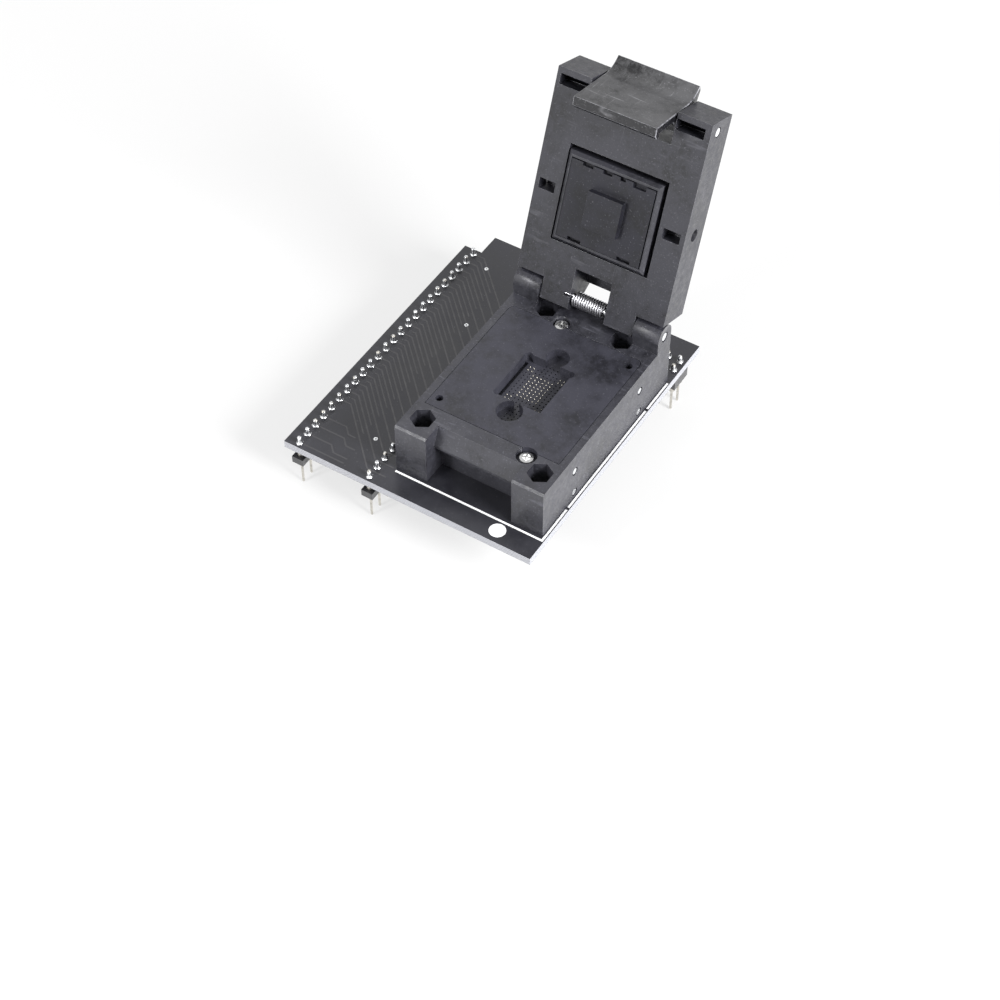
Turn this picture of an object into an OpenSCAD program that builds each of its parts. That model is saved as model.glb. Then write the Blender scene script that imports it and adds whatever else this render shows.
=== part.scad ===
// Test-socket adapter: a clamshell ball-grid socket on a small board with pin headers.
// The origin is the centre of the long two-row pin pattern, on the plane of the pin tips.
// +X runs from the pin rows to the socket, +Y to the hinge, +Z up. Units are millimetres.
// The lid is drawn closed about its own hinge axis and placed open by open_angle.

/* [Board] */
// Width of the board along X
board_w = 52.3; // [50:0.1:60]
// Depth of the board along Y, without the rear tab
board_d = 60.8; // [60:0.1:70]
// Thickness of the board
board_t = 1.6; // [1:0.1:2.4]
// Left edge of the board to the left pin row
edge_left = 2.63; // [2:0.01:4]
// Left edge of the board to the rear tab
tab_inset = 3.78; // [2:0.01:6]
// Width of the rear tab
tab_w = 16.9; // [10:0.1:20]
// Depth of the rear tab
tab_d = 5; // [2:0.1:8]

/* [Pin headers] */
// Pitch of the pins
pitch = 2.54; // [2.54]
// Pins in each long row
row_pins = 24; // [8:1:24]
// Distance between the two long rows
row_gap = 15.24; // [7.62, 15.24]
// Pin tips to the underside of the board
pin_drop = 9; // [8:0.1:12]
// Radius of the solder tail above the board
stem_r = 0.38; // [0.3:0.01:0.45]
// Height of the solder tail above the board
stem_h = 1.4; // [0.8:0.1:2]
// Radius of the turned barrel
barrel_r = 0.68; // [0.55:0.01:0.8]
// Length of the turned barrel under the board
barrel_h = 3.7; // [3:0.1:5]
// Radius of the plug end
tail_r = 0.25; // [0.2:0.01:0.35]
// Width of an insulator strip
strip_w = 2.4; // [2:0.1:2.5]
// Height of a long insulator strip
strip_h = 1.5; // [1:0.1:1.8]
// Gap between the board and a long insulator strip
strip_gap = 1.7; // [0.5:0.1:1.9]
// Centre of the four-pin side header to the right edge of the board
side_in_x = 2.5; // [2.45:0.05:5]
// Centre of the four-pin side header to the rear edge of the board
side_in_y = 6.6; // [4.5:0.1:7]
// Width of the side header insulator
side_w = 4.8; // [4.4:0.1:4.9]
// Height of the side header insulator
side_h = 2.4; // [2:0.1:3]
// Radius of a solder fillet on the board
solder_r = 0.85; // [0.6:0.01:1]
// Height of a solder fillet
solder_h = 0.75; // [0.4:0.05:1]

/* [Socket base] */
// Right pin row to the left wall of the socket
sock_gap = 2.98; // [2.9:0.01:3.05]
// Centre of the socket along Y
sock_y = -2.77; // [-3:0.01:-2]
// Width of the socket
sock_w = 30.7; // [30.4:0.1:31]
// Depth of the socket
sock_d = 44.3; // [44:0.1:46]
// Height of the base above the board
base_h = 10.9; // [10.5:0.1:12]
// Width of the latch recess between the front posts
recess_w = 17.7; // [17.4:0.1:18]
// Depth of the recess at its top edge
recess_d = 4.2; // [3.8:0.1:4.3]
// Depth of the recess at the front of the hook ledge
ledge_d = 2.72; // [2.6:0.01:2.8]
// Depth of the undercut below the ledge
undercut_d = 5; // [4.5:0.1:5.2]
// Gap between the hook ledge and the hook under it
hook_gap = 0.21; // [0.15:0.01:0.3]
// Width of an ear that carries the hinge pin
ear_w = 5.45; // [5:0.05:5.5]
// Radius of the rounded ear top
ear_r = 2.4; // [2.3:0.05:2.5]
// Hinge axis above the top of the base
axis_over_top = 2.61; // [2.58:0.01:2.9]
// Radius of the hinge pin
hinge_r = 0.8; // [0.7:0.05:0.9]

/* [Fasteners] */
// Nut pocket width across its flats
nut_pocket = 4.15; // [4.1:0.01:4.2]
// Nut width across its flats
nut_af = 4; // [3.9:0.01:4.05]
// Nut thickness
nut_t = 1.6; // [1.2:0.1:2]
// Material left under the nut
nut_floor = 2.3; // [2:0.1:4]
// Front nut pockets, half their distance along X
nut_front_x = 12.12; // [12:0.01:12.3]
// Front nut pockets, distance in front of the socket centre
nut_front_y = 17.97; // [17.9:0.01:18.5]
// Rear nut pockets, half their distance along X
nut_rear_x = 7.95; // [7.9:0.01:8]
// Rear nut pockets, distance behind the socket centre
nut_rear_y = 17.2; // [17.2:0.01:17.6]
// Radius of a mounting screw
screw_r = 1; // [0.9:0.05:1]
// Radius of a mounting screw head
screw_head_r = 1.9; // [1.7:0.05:2]
// Height of a mounting screw head
screw_head_h = 1.4; // [1.2:0.1:1.6]
// Radius of a guide plate screw head
guide_head_r = 1.42; // [1.3:0.01:1.5]
// Height of a guide plate screw head
guide_head_h = 0.95; // [0.8:0.05:1]
// Radius of a guide plate screw
guide_screw_r = 0.7; // [0.6:0.05:0.8]
// Radius of the counterbore round the front guide plate screw
cbore_fr = 1.95; // [1.8:0.05:2]
// Radius of the counterbore round the rear guide plate screw
cbore_rr = 1.65; // [1.55:0.05:2]
// Depth of the counterbore
cbore_d = 1.35; // [1.1:0.05:1.5]
// Front guide plate screw from the front edge of the guide plate
guide_screw_fy = 1.25; // [1.1:0.01:1.3]
// Rear guide plate screw from the rear edge of the guide plate
guide_screw_ry = 0.85; // [0.85:0.01:1.1]
// Front guide plate screw from the socket centre along X
guide_screw_fx = 8; // [7.8:0.1:8.1]
// Rear guide plate screw from the socket centre along X
guide_screw_rx = -3.65; // [-3.8:0.05:-3]

/* [Contact field] */
// Pitch of the contacts
ball_pitch = 0.8; // [0.8]
// Contact positions along X
ball_cols = 10; // [10]
// Contact positions along Y
ball_rows = 12; // [12]
// Radius of a contact probe
probe_r = 0.16; // [0.15:0.01:0.22]
// Travel of the contact probes
probe_travel = 0.3; // [0.2:0.05:0.4]
// Contact probe tip above the pocket floor
probe_up = 0.15; // [0.1:0.05:0.2]
// Ledge under the guide plate to the left and right of the contact block
block_ledge_x = 2.85; // [2.85:0.05:3.85]
// Ledge under the guide plate in front of the contact block and behind it
block_ledge_y = 1.8; // [1.7:0.05:2]
// Radius of the cross pins that hold the block
cross_r = 0.6; // [0.5:0.05:0.65]
// Cross pins from the front and rear faces of the block
cross_in = 1.3; // [1.1:0.1:1.5]
// Lower cross pins above the board
cross_low = 1.4; // [1.2:0.1:1.6]
// Upper cross pins below the guide plate
cross_under = 1; // [0.9:0.1:1.3]

/* [Guide plate] */
// Wall of the base to the left and right of the guide plate
guide_wall = 1.5; // [1.45:0.05:1.8]
// Depth of the guide plate
guide_d = 29; // [28.8:0.1:29]
// Thickness of the guide plate
guide_t = 3; // [2.8:0.1:3.1]
// Radius of the rear corners of the guide plate
guide_r = 1; // [0.5:0.1:2]
// Depth of the chip pocket
pocket_depth = 2; // [1.8:0.05:2.1]
// Width of the chip pocket
pocket_w = 9.4; // [9.1:0.05:9.5]
// Depth of the chip pocket along Y
pocket_d = 11.6; // [11.3:0.05:11.7]
// Radius of the front finger relief
finger_fr = 2.45; // [2:0.05:2.8]
// Front finger relief in front of the socket centre
finger_fy = 8.4; // [7.8:0.1:8.6]
// Radius of the rear finger relief
finger_rr = 2.2; // [2:0.05:2.6]
// Rear finger relief behind the socket centre
finger_ry = 7.2; // [6.8:0.1:7.6]
// Radius of the corner reliefs
corner_r = 0.8; // [0.5:0.05:0.9]
// Width of the groove along the left wall of the pocket
groove_w = 0.8; // [0.5:0.05:1]
// Depth of that groove below the pocket floor
groove_d = 0.7; // [0.3:0.05:0.8]
// Radius of the empty holes in the pocket floor
blank_r = 0.15; // [0.12:0.01:0.2]
// Radius of the two alignment holes
align_r = 0.72; // [0.6:0.01:0.9]
// Alignment holes from the socket centre
align_at = 12.3; // [12:0.1:12.4]

/* [Lid] */
// Lid opening angle at its stop
open_angle = 110; // [100:1:120]
// Hinge axis to the free end of the lid
lid_len = 42; // [41.8:0.1:43]
// Thickness of the lid
lid_t = 7.7; // [7.6:0.1:8]
// Inner face of the lid below the hinge axis
lid_drop = 1.9; // [1.8:0.01:2]
// Radius of the hinge knuckle
knuckle_r = 2.35; // [2.2:0.05:2.4]
// Wall of the lid to the left and right of the pressure plate opening
window_side = 5.3; // [5.1:0.05:5.5]
// Length of the pressure plate opening
window_d = 18.8; // [18.6:0.1:19]
// Hinge axis to the centre of the opening
window_s = 19.81; // [19.8:0.01:20]
// Wall behind the opening
window_wall = 1.8; // [1.7:0.1:2]
// Inner face of the lid beyond the hinge axis
knuckle_toe = 1.6; // [1.4:0.05:1.65]
// Half width of the spring pocket at the hinge
spring_pocket = 3.8; // [3.7:0.1:4]
// Length of the spring pocket above the hinge axis
spring_pocket_s = 6.63; // [6:0.01:7]
// Outer wall of the spring pocket
spring_wall = 1.5; // [1.3:0.1:1.8]
// Open rear wall of the spring pocket, from the hinge axis
spring_window_s = 1.85; // [1.5:0.05:2.5]
// Radius of the coil of the lid spring, at its wire
hinge_coil_r = 1.35; // [1.2:0.01:1.4]
// Radius of the wire of the lid spring
hinge_wire_r = 0.25; // [0.2:0.01:0.28]
// Length of that coil
hinge_coil_len = 6.35; // [6:0.05:6.6]
// Shift of that coil from the centre of the socket
hinge_coil_x = -0.22; // [-0.3:0.01:0]
// Length of its leg along the lid
hinge_leg = 1.6; // [1.2:0.1:2]
// Left plate pin window, its centre to the side of the lid
pin_window_l = 2.45; // [2.3:0.05:2.6]
// Width of the left plate pin window
pin_window_lw = 3.3; // [3:0.1:3.6]
// Right plate pin window, its centre to the side of the lid
pin_window_r = 2.7; // [2.5:0.05:2.8]
// Width of the right plate pin window
pin_window_rw = 3.5; // [3:0.1:3.6]
// Left latch pin window, its centre to the side of the lid
latch_window_l = 3.75; // [3.7:0.05:4]
// Width of the left latch pin window
latch_window_lw = 6; // [5:0.1:6]
// Right latch pin window, its centre to the side of the lid
latch_window_r = 3.95; // [3.7:0.05:4]
// Width of the right latch pin window
latch_window_rw = 5.6; // [5:0.1:5.8]
// Width of the latch slot
slot_w = 17.1; // [17:0.1:17.3]
// Length of the latch slot
slot_d = 6.1; // [6:0.1:6.4]

/* [Latch] */
// Gap between the latch and each side of its slot
latch_gap = 0.3; // [0.15:0.01:0.4]
// Hinge axis to the latch pin along the lid
latch_s = 39.85; // [39.8:0.01:40]
// Latch pin above the hinge axis with the lid closed
latch_up = 1.16; // [1.1:0.01:1.2]
// Radius of the latch pin
latch_pin_r = 0.8; // [0.7:0.05:0.85]
// Lean of the hook toward the hinge
latch_lean = 7; // [6:0.5:7.5]
// Reach of the hook below the latch pin
hook_reach = 9.8; // [9.7:0.05:9.9]
// Top of the hook nose below the latch pin
hook_catch = 8.4; // [8.38:0.01:8.5]
// Radius of the thumb scoop
scoop_r = 5.35; // [5:0.05:5.6]
// Centre of the thumb scoop in front of the latch pin
scoop_out = 7.35; // [7.2:0.05:7.5]
// Centre of the thumb scoop above the latch pin
scoop_up = 1.35; // [1.2:0.05:1.5]
// Length of the coil of the latch spring
latch_coil_len = 4; // [3.6:0.1:4.4]

/* [Pressure plate] */
// Gap to the left of the pressure plate in its opening
plate_gap_l = 0.28; // [0.2:0.01:0.6]
// Gap to the right of the plate
plate_gap_r = 0.82; // [0.3:0.01:0.9]
// Gap between the plate and the hinge side of its opening
plate_gap_h = 0.2; // [0.2:0.05:0.6]
// Gap between the plate and the free side of its opening
plate_gap_f = 1; // [0.4:0.05:1]
// Face of the pressure plate below the inner face of the lid
plate_out = 0.55; // [0.4:0.01:0.6]
// Travel of the pressure plate into the lid
plate_travel = 0.8; // [0.6:0.1:0.9]
// Width of the boss round the cross pin
boss_w = 13; // [10:0.5:14]
// Length of that boss
boss_d = 5; // [4:0.5:6]
// Edge of the plate to the left and right of the pressing insert
pad_rim_x = 0.95; // [0.9:0.05:1.2]
// Edge of the plate above and below the pressing insert
pad_rim_y = 1.2; // [0.95:0.05:1.4]
// Thickness of the pressing insert
pad_t = 1.2; // [1:0.1:1.3]
// Side of the raised square that presses the chip
presser_w = 7; // [6.8:0.1:7.4]
// Height of the raised square
presser_h = 1.45; // [0.9:0.05:1.5]
// Radius of the cross pin behind the plate
plate_pin_r = 0.75; // [0.7:0.01:0.8]
// Cross pin above the hinge axis with the lid closed
plate_pin_up = 2.04; // [2:0.01:2.1]

/* [Hidden] */
fit = 0.1;
run = 0.05;
pad_fit = 0.14;
snug = 0.02;
over = 1;
curve = 32;
black = "#303034";
soot = "#26262a";
steel = "#c9ccd0";
gold = "#d8b766";

board_z = pin_drop + board_t;
board_x0 = -row_gap / 2 - edge_left;
board_x1 = board_x0 + board_w;
side_x = board_x1 - side_in_x;
side_y = board_d / 2 - side_in_y;
sock_x = row_gap / 2 + sock_gap + sock_w / 2;
base_y0 = sock_y - sock_d / 2;
base_y1 = sock_y + sock_d / 2;
base_top = board_z + base_h;
hinge_y = base_y1 - ear_r + 0.06;
hinge_h = base_h + axis_over_top;
hinge_z = board_z + hinge_h;
ledge_z = hinge_h + latch_up - hook_catch + hook_gap;
guide_w = sock_w - 2 * guide_wall;
window_w = sock_w - 2 * window_side;
plate_w = window_w - plate_gap_l - plate_gap_r;
plate_d = window_d - plate_gap_h - plate_gap_f;
plate_dx = (plate_gap_l - plate_gap_r) / 2;
plate_dy = (plate_gap_f - plate_gap_h) / 2;
pad_w = plate_w - 2 * pad_rim_x;
pad_d = plate_d - 2 * pad_rim_y;
latch_w = slot_w - 2 * latch_gap;
block_w = guide_w - 2 * block_ledge_x;
block_d = guide_d - 2 * block_ledge_y;
cross_y = block_d / 2 - cross_in;
cross_high = base_h - guide_t - cross_under;
ear_x = sock_w / 2 - ear_w;
knuckle_x = ear_x - 0.2;
shoulder = ear_r + 0.25;
past = 2 * shoulder;
guide_z = base_top - guide_t;
floor_z = base_top - pocket_depth;
block_h = base_h - guide_t - 0.05;
lid_top = lid_t - lid_drop;
plate_face = -lid_drop - plate_out;
plate_back = 0.4;
spring_x = 7.6;
spring_y = 6.6;
spring_r = 0.95;
spring_bore_d = 1.2;
wire_r = 0.22;
hinge_first = 223.5;
nut_places = [
    [-nut_front_x, -nut_front_y], [nut_front_x, -nut_front_y],
    [-nut_rear_x, nut_rear_y], [nut_rear_x, nut_rear_y]
];
guide_screw_places = [
    [guide_screw_fx, -guide_d / 2 - guide_screw_fy, cbore_fr],
    [guide_screw_rx, guide_d / 2 + guide_screw_ry, cbore_rr]
];

// Places things about the centre of the socket, at board height.
module at_socket() {
    translate([sock_x, sock_y, board_z]) children();
}

// Places things drawn about the hinge axis of a closed lid.
module on_lid() {
    translate([sock_x, hinge_y, hinge_z]) rotate([-open_angle, 0, 0]) children();
}

// Turns a profile drawn in Y and Z into a solid of the given width along X.
module along_x(width) {
    translate([-width / 2, 0, 0]) rotate([90, 0, 90]) linear_extrude(width) children();
}

module rod_x(radius, length) {
    translate([-length / 2, 0, 0]) rotate([0, 90, 0]) cylinder(r = radius, h = length, $fn = curve);
}

module box(w, d, h) {
    translate([-w / 2, -d / 2, 0]) cube([w, d, h]);
}

// Wider mouths of a cross bore, on both outer sides of the socket.
module mouths(radius, depth) {
    for (s = [-1, 1]) translate([s * (sock_w + over - depth) / 2, 0, 0]) rod_x(radius, depth + over);
}

module rounded_slab(w, d, h, r) {
    box(w - 2 * r, d, h);
    box(w, d - 2 * r, h);
    for (x = [-1, 1], y = [-1, 1])
        translate([x * (w / 2 - r), y * (d / 2 - r), 0]) cylinder(r = r, h = h, $fn = curve);
}

// Outline of the guide plate: square corners in front, rounded ones behind.
module guide_slab(clear, h) {
    rounded_slab(guide_w + 2 * clear, guide_d + 2 * clear, h, guide_r);
    translate([0, -guide_d / 4 - clear / 2, 0]) box(guide_w + 2 * clear, guide_d / 2 + clear, h);
}

function row_y(i) = (i - (row_pins - 1) / 2) * pitch;

// Contact positions: the middle block, a square of four at three corners, three at the fourth.
function is_ball(c, r) =
    (c >= 2 && c < ball_cols - 2 && r >= 2 && r < ball_rows - 2)
    || ((c < 2 || c >= ball_cols - 2) && (r < 2 || r >= ball_rows - 2)
        && !(c == ball_cols - 2 && r == 1));
function ball_xy(c, r) =
    [(c - (ball_cols - 1) / 2) * ball_pitch, (r - (ball_rows - 1) / 2) * ball_pitch];
ball_places = [
    for (c = [0:ball_cols - 1], r = [0:ball_rows - 1]) if (is_ball(c, r)) ball_xy(c, r)
];

// Empty holes: the rest of the field and four columns that run on into both finger reliefs.
blank_places = [
    for (c = [0:ball_cols - 1], r = [-6:ball_rows + 1])
        if (!is_ball(c, r) && (abs(c - 4.5) < 2 || (r >= 0 && r < ball_rows))) ball_xy(c, r)
];

// A round wire swept along a list of points, as one closed skin.
function unit(v) = v / norm(v);
function heading(p, i) = unit(p[min(i + 1, len(p) - 1)] - p[max(i - 1, 0)]);
module wire(p, r, up, sides = 6) {
    n = len(p);
    skin = [
        for (i = [0:n - 1])
            let (t = heading(p, i), a = unit(cross(t, up)), b = cross(a, t))
                for (k = [0:sides - 1]) p[i] + r * (a * cos(360 * k / sides) + b * sin(360 * k / sides))
    ];
    sides_faces = [
        for (i = [0:n - 2], k = [0:sides - 1])
            let (a = i * sides + k, b = i * sides + (k + 1) % sides)
                each [[a, b, b + sides], [a, b + sides, a + sides]]
    ];
    start = [for (k = [sides - 1:-1:0]) k];
    finish = [for (k = [0:sides - 1]) (n - 1) * sides + k];
    polyhedron(points = skin, faces = concat(sides_faces, [start, finish]), convexity = 10);
}

// Points of a coil about the X axis, centred on the origin.
function coil_x(radius, length, turns, first, steps = 16) = [
    for (i = [0:turns * steps])
        let (a = first + 360 * i / steps)
            [-length / 2 + length * i / (turns * steps), radius * cos(a), radius * sin(a)]
];
// Points of a coil about the Z axis, from the origin up.
function coil_z(radius, length, turns, steps = 12) = [
    for (i = [0:turns * steps])
        let (a = 360 * i / steps)
            [radius * cos(a), radius * sin(a), length * i / (turns * steps)]
];

module at_pins() {
    for (s = [-1, 1], i = [0:row_pins - 1]) translate([s * row_gap / 2, row_y(i), 0]) children();
    at_side_pins() children();
}

module at_side_pins() {
    for (x = [-1, 1], y = [-1, 1])
        translate([side_x + x * pitch / 2, side_y + y * pitch / 2, 0]) children();
}

module circuit_board() {
    color(soot)
        difference() {
            union() {
                translate([board_x0, -board_d / 2, pin_drop]) cube([board_w, board_d, board_t]);
                translate([board_x0 + tab_inset, board_d / 2 - over, pin_drop])
                    cube([tab_w, tab_d + over, board_t]);
            }
            at_pins() translate([0, 0, pin_drop - over])
                cylinder(r = stem_r + snug, h = board_t + 2 * over, $fn = 24);
            at_socket() for (p = nut_places)
                translate([p[0], p[1], -board_t - over])
                    cylinder(r = screw_r + fit, h = board_t + 2 * over, $fn = curve);
        }
}

// One turned pin, from its tip up: plug end, barrel and solder tail.
module turned_pin() {
    tip = tail_r * 0.8;
    rotate_extrude($fn = 24) polygon([
        [0, 0], [tail_r - 0.1, 0], [tail_r, tip], [tail_r, pin_drop - barrel_h - 0.4],
        [barrel_r, pin_drop - barrel_h], [barrel_r, pin_drop], [stem_r, pin_drop],
        [stem_r, board_z + stem_h - 0.12], [stem_r - 0.12, board_z + stem_h], [0, board_z + stem_h]
    ]);
}

module header_strip() {
    length = row_pins * pitch - 0.16;
    top = pin_drop - strip_gap;
    difference() {
        union() {
            translate([0, 0, top - strip_h]) box(strip_w, length, strip_h);
        }
        for (i = [0:row_pins - 1])
            translate([0, row_y(i), top - strip_h - over])
                cylinder(r = barrel_r + snug, h = strip_h + 2 * over, $fn = 24);
        // Waists between the pins
        for (i = [0:row_pins - 2], s = [-1, 1])
            translate([s * strip_w / 2, row_y(i) + pitch / 2, top - strip_h - over])
                rotate([0, 0, 45]) box(0.5, 0.5, strip_h + 2 * over);
    }
}

module left_header_strip() {
    color(black) translate([-row_gap / 2, 0, 0]) header_strip();
}

module right_header_strip() {
    color(black) translate([row_gap / 2, 0, 0]) header_strip();
}

module left_header_pins() {
    color(gold) for (i = [0:row_pins - 1]) translate([-row_gap / 2, row_y(i), 0]) turned_pin();
}

module right_header_pins() {
    color(gold) for (i = [0:row_pins - 1]) translate([row_gap / 2, row_y(i), 0]) turned_pin();
}

module side_header_strip() {
    color(black)
        difference() {
            translate([side_x, side_y, pin_drop - side_h]) box(side_w, side_w, side_h);
            at_side_pins() translate([0, 0, pin_drop - side_h - over])
                cylinder(r = barrel_r + snug, h = side_h + 2 * over, $fn = 24);
        }
}

module side_header_pins() {
    color(gold) at_side_pins() turned_pin();
}

module solder_joints() {
    color("#d4d6d9")
        at_pins() translate([0, 0, board_z]) difference() {
            cylinder(r1 = solder_r, r2 = stem_r + 0.08, h = solder_h, $fn = 24);
            translate([0, 0, -over]) cylinder(r = stem_r + snug, h = solder_h + 2 * over, $fn = 24);
        }
}

// The recess that the latch drops into, with its sloped lead-in and the ledge that the hook catches.
module latch_recess() {
    f = -sock_d / 2;
    translate([0, f, 0]) along_x(recess_w) polygon([
        [-over, -over], [undercut_d, -over], [undercut_d, ledge_z], [ledge_d, ledge_z],
        [ledge_d, ledge_z + 0.5], [recess_d, base_h], [recess_d, base_h + over], [-over, base_h + over]
    ]);
}

module nut_pocket_hole() {
    translate([0, 0, nut_floor]) rotate([0, 0, 30])
        cylinder(r = nut_pocket / 2 / cos(30), h = base_h, $fn = 6);
    translate([0, 0, -over]) cylinder(r = screw_r + fit, h = base_h, $fn = curve);
}

module ears() {
    foot = hinge_h - base_h + over;
    for (s = [-1, 1]) translate([s * (sock_w / 2 - ear_w / 2), 0, 0]) {
        translate([0, hinge_y - sock_y, base_h - over]) box(ear_w, 2 * ear_r, foot);
        translate([0, hinge_y - sock_y, hinge_h]) rod_x(ear_r, ear_w);
    }
}

module socket_base() {
    color(black)
        at_socket() difference() {
            union() {
                box(sock_w, sock_d, base_h);
                ears();
            }
            latch_recess();
            for (p = nut_places) translate([p[0], p[1], 0]) nut_pocket_hole();
            translate([0, 0, base_h - guide_t])
                guide_slab(fit, guide_t + over);
            translate([0, 0, -over]) box(block_w + 2 * fit, block_d + 2 * fit, base_h);
            for (p = guide_screw_places) translate([p[0], p[1], 0]) {
                translate([0, 0, base_h - cbore_d]) cylinder(r = p[2], h = cbore_d + over, $fn = 48);
                translate([0, 0, base_h - cbore_d - 5])
                    cylinder(r = guide_screw_r + snug, h = 6, $fn = curve);
            }
            for (y = [-cross_y, cross_y], z = [cross_low, cross_high]) translate([0, y, z]) {
                rod_x(cross_r + snug, sock_w + 2 * over);
                mouths(cross_r + 0.27, 0.35);
            }
            translate([0, hinge_y - sock_y, hinge_h]) {
                rod_x(hinge_r + snug, sock_w + 2 * over);
                mouths(hinge_r + 0.25, 0.3);
            }
            // Small bevels on the top front edges
            translate([0, -sock_d / 2, base_h]) rotate([45, 0, 0])
                translate([0, 0, -0.25]) box(sock_w + 2 * over, 0.5, 0.5);
        }
}

module contact_block() {
    color(soot)
        at_socket() difference() {
            box(block_w, block_d, block_h);
            for (p = ball_places) translate([p[0], p[1], -over])
                cylinder(r = probe_r + run, h = block_h + 2 * over, $fn = 16);
            for (y = [-cross_y, cross_y], z = [cross_low, cross_high])
                translate([0, y, z]) rod_x(cross_r + snug, block_w + 2 * over);
        }
}

module contact_probes() {
    color(gold)
        at_socket() for (p = ball_places) translate([p[0], p[1], 0]) {
            low = probe_travel + 0.05;
            top = base_h - pocket_depth + probe_up;
            translate([0, 0, low]) cylinder(r = probe_r, h = top - low - 0.1, $fn = 16);
            translate([0, 0, top - 0.1]) cylinder(r1 = probe_r, r2 = probe_r / 2, h = 0.1, $fn = 16);
        }
}

module block_pins() {
    color(steel)
        at_socket() for (y = [-cross_y, cross_y], z = [cross_low, cross_high])
            translate([0, y, z]) rod_x(cross_r, sock_w - 0.2);
}

// Outline of the chip pocket: the chip's rectangle, two finger reliefs and three corner reliefs.
module pocket_shape() {
    left = 0.1 - pocket_w / 2;
    back = pocket_d / 2 - 0.2;
    translate([0.1, -0.2]) square([pocket_w, pocket_d], center = true);
    translate([-0.1, -finger_fy]) circle(r = finger_fr, $fn = 48);
    translate([0.45, finger_ry]) circle(r = finger_rr, $fn = 48);
    translate([left + 0.2, 0.4 - pocket_d / 2]) circle(r = corner_r, $fn = curve);
    translate([left + 0.25, back - 0.5]) circle(r = corner_r, $fn = curve);
    translate([left + pocket_w - 0.35, back - 0.7]) circle(r = corner_r, $fn = curve);
    groove_shape();
}

module groove_shape() {
    translate([-pocket_w / 2 - 0.45, 0.4 - pocket_d / 2]) square([groove_w, pocket_d - 1.1]);
}

module guide_plate() {
    color(black)
        at_socket() difference() {
            translate([0, 0, base_h - guide_t]) guide_slab(0, guide_t);
            translate([0, 0, base_h - pocket_depth]) linear_extrude(pocket_depth + over) pocket_shape();
            translate([0, 0, base_h - pocket_depth - groove_d]) linear_extrude(pocket_depth) groove_shape();
            for (p = ball_places) translate([p[0], p[1], base_h - guide_t - over])
                cylinder(r = probe_r + run, h = guide_t, $fn = 16);
            for (p = blank_places) translate([p[0], p[1], base_h - guide_t - over])
                cylinder(r = blank_r, h = guide_t, $fn = 16);
            for (p = guide_screw_places) translate([p[0], p[1], base_h - cbore_d])
                cylinder(r = p[2], h = cbore_d + over, $fn = 48);
            for (p = guide_screw_places) translate([p[0], p[1], base_h - guide_t - over])
                cylinder(r = guide_screw_r + fit, h = guide_t, $fn = curve);
            for (s = [-1, 1]) translate([s * align_at, s * align_at, base_h - guide_t - over])
                cylinder(r = align_r, h = guide_t + 2 * over, $fn = curve);
        }
}

module guide_screws() {
    color(steel)
        at_socket() for (p = guide_screw_places)
            translate([p[0], p[1], base_h - cbore_d]) difference() {
                union() {
                    rotate_extrude($fn = curve) polygon([
                        [0, 0], [guide_head_r, 0], [guide_head_r, guide_head_h * 0.5],
                        [guide_head_r * 0.86, guide_head_h * 0.85], [guide_head_r * 0.5, guide_head_h],
                        [0, guide_head_h]
                    ]);
                    translate([0, 0, -4.5]) cylinder(r = guide_screw_r, h = 4.6, $fn = curve);
                }
                for (a = [20, 110]) rotate([0, 0, a]) translate([0, 0, guide_head_h * 0.45])
                    box(guide_head_r * 1.25, 0.36, 1);
            }
}

module mounting_nuts() {
    color(steel)
        at_socket() for (p = nut_places) translate([p[0], p[1], nut_floor]) difference() {
            rotate([0, 0, 30]) cylinder(r = nut_af / 2 / cos(30), h = nut_t, $fn = 6);
            translate([0, 0, -over]) cylinder(r = screw_r + snug, h = nut_t + 2 * over, $fn = curve);
        }
}

module mounting_screws() {
    color(steel)
        at_socket() for (p = nut_places) translate([p[0], p[1], -board_t]) difference() {
            union() {
                rotate_extrude($fn = curve) polygon([
                    [0, 0], [screw_head_r, 0], [screw_head_r, -screw_head_h * 0.5],
                    [screw_head_r * 0.8, -screw_head_h * 0.9], [screw_head_r * 0.45, -screw_head_h],
                    [0, -screw_head_h]
                ]);
                translate([0, 0, -0.1])
                    cylinder(r = screw_r, h = board_t + nut_floor + nut_t + 0.4, $fn = curve);
            }
            for (a = [0, 90]) rotate([0, 0, a]) translate([0, 0, -screw_head_h - 0.4])
                box(screw_head_r * 1.2, 0.5, 1.1);
        }
}

module hinge_pin() {
    color(steel) translate([sock_x, hinge_y, hinge_z]) rod_x(hinge_r, sock_w - 0.2);
}

// Torsion spring of the lid: the coil runs round the hinge pin, one leg lies in a groove of the lid.
module hinge_spring() {
    coil = [
        for (p = coil_x(hinge_coil_r, hinge_coil_len, 13, hinge_first)) p + [hinge_coil_x, 0, 0]
    ];
    first = coil[0];
    last = coil[len(coil) - 1];
    head = [
        first + [-hinge_leg, -0.07, -0.37], first + [-0.4, -0.07, -0.37], first + [-0.15, -0.05, -0.2]
    ];
    tail = [last + [0.02, 0.35, -0.36], last + [0.04, 0.65, -0.68]];
    color(steel) translate([sock_x, hinge_y, hinge_z]) rotate([-open_angle, 0, 0])
        wire(concat(head, coil, tail), hinge_wire_r, [1, -0.07, 0.07]);
}

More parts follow.
